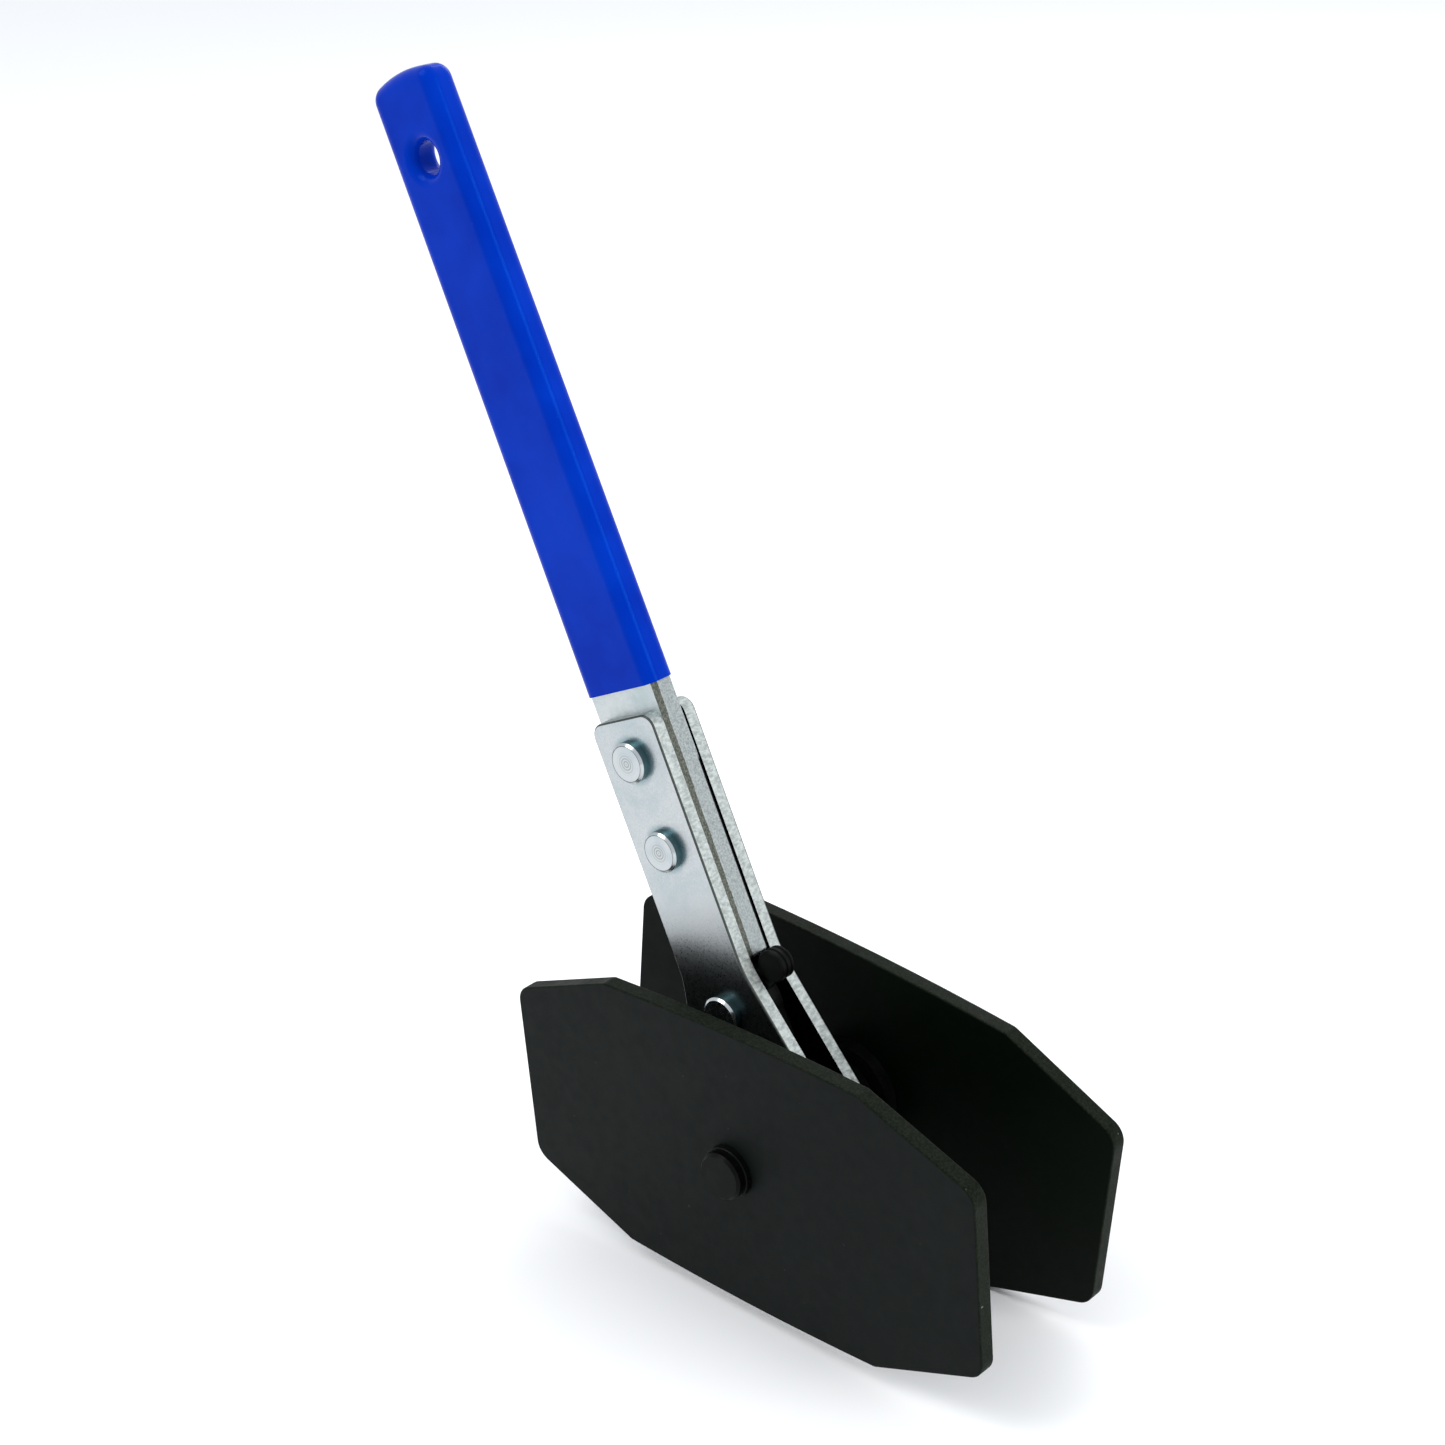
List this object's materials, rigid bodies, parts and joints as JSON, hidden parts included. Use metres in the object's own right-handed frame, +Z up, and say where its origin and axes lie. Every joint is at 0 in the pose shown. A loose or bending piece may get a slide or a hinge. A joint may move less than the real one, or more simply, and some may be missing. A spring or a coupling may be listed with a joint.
{
  "type": "ratcheting brake caliper piston spreader",
  "caption": "Hand ratchet press that spreads two swivelling octagonal pressure plates to push brake caliper pistons back, with a flat dipped handle and reversing pawl.",
  "frame": {"origin": "middle of the box round the tool, at its lowest level", "axes": "+Z up with the near plate level, +Y along the screw from the near plate to the far plate, +X along the near plate towards the pawl knob's side"},
  "size_m": [0.164, 0.0518, 0.2518],
  "materials": {
    "grip_coat": "gloss",
    "bar_steel": "satin",
    "zinc_steel": "satin",
    "rivet_steel": "satin",
    "spring_steel": "satin",
    "black_steel": "satin",
    "plate_steel": "satin",
    "knob_black": "satin"
  },
  "bodies": {
    "handle": {"grip": "grip_coat", "handle_bar": "bar_steel", "yoke_plate_near": "zinc_steel", "yoke_plate_far": "zinc_steel", "handle_rivets": "rivet_steel", "pawl_rivet": "rivet_steel", "detent_spring": "spring_steel"},
    "ratchet": {"ratchet_gear": "black_steel", "far_hub": "black_steel", "retaining_ring_far": "black_steel"},
    "screw": {"drive_screw": "black_steel", "retaining_ring_near": "black_steel"},
    "near_plate": {"pressure_plate_near": "plate_steel"},
    "far_plate": {"pressure_plate_far": "plate_steel"},
    "pawl_rocker": {"pawl": "black_steel", "pawl_knob": "knob_black"},
    "plunger": {"detent_plunger": "spring_steel"}
  },
  "joints": [
    {"name": "gear_turn", "type": "hinge", "parent": "handle", "child": "ratchet", "pos_m": [0.01501, -0.00203, 0.03694], "axis": [0, 1, 0], "range_deg": [-811, 2161]},
    {"name": "screw_feed", "type": "slide", "parent": "handle", "child": "screw", "axis": [0, -1, 0], "range_m": [-0.0045, 0.012]},
    {"name": "near_plate_swivel", "type": "hinge", "parent": "screw", "child": "near_plate", "pos_m": [0.01501, -0.01973, 0.03694], "axis": [0.0523, 0.9977, 0.0436], "continuous": true},
    {"name": "far_plate_swivel", "type": "hinge", "parent": "handle", "child": "far_plate", "pos_m": [0.01501, 0.01817, 0.03694], "axis": [0, 1, 0], "continuous": true},
    {"name": "pawl_rock", "type": "hinge", "parent": "handle", "child": "pawl_rocker", "pos_m": [0.00377, -0.00203, 0.06367], "axis": [0, 1, 0], "range_deg": [0, 20]},
    {"name": "plunger_press", "type": "slide", "parent": "handle", "child": "plunger", "axis": [-0.3875, 0, 0.9219], "range_m": [0, 0.0006], "stiffness_N_per_m": 300, "springref_m": -0.002}
  ],
  "couplings": [
    {"joint": "gear_turn", "follows": "screw_feed", "rad_per_m": 3141.6}
  ]
}
